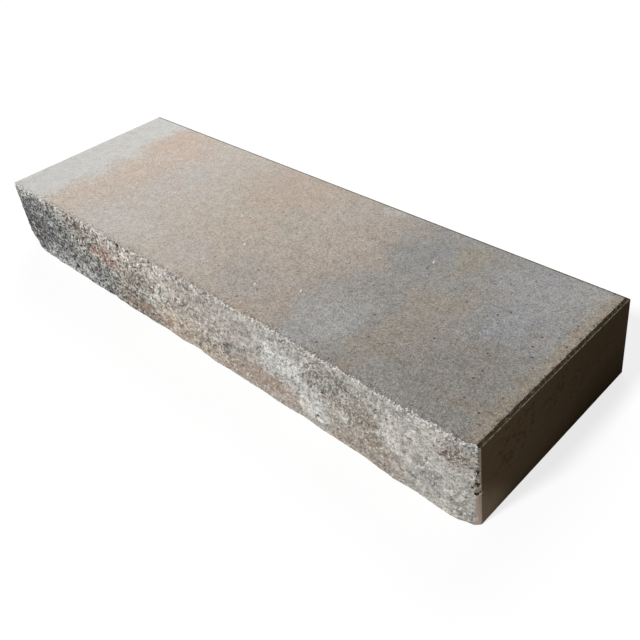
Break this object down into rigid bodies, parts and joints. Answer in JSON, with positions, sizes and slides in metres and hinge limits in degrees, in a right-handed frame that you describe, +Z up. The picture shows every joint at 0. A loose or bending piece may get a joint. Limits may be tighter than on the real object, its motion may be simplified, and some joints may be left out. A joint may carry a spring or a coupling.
{
  "type": "split-face concrete step",
  "caption": "Long low cast-concrete step block with a flat tread, moulded ends and back, and a rough split front face.",
  "frame": {"origin": "middle of the block's footprint, on the bed it rests on", "axes": "+X along the tread to the right as seen from the front, +Y from the split face to the back, +Z up to the tread"},
  "size_m": [1.219, 0.406, 0.152],
  "materials": {
    "concrete": "matte, fine sandy cast surface in blended grey and buff, broken aggregate on the split face"
  },
  "bodies": {
    "root": {"step_block": "concrete"}
  },
  "joints": []
}
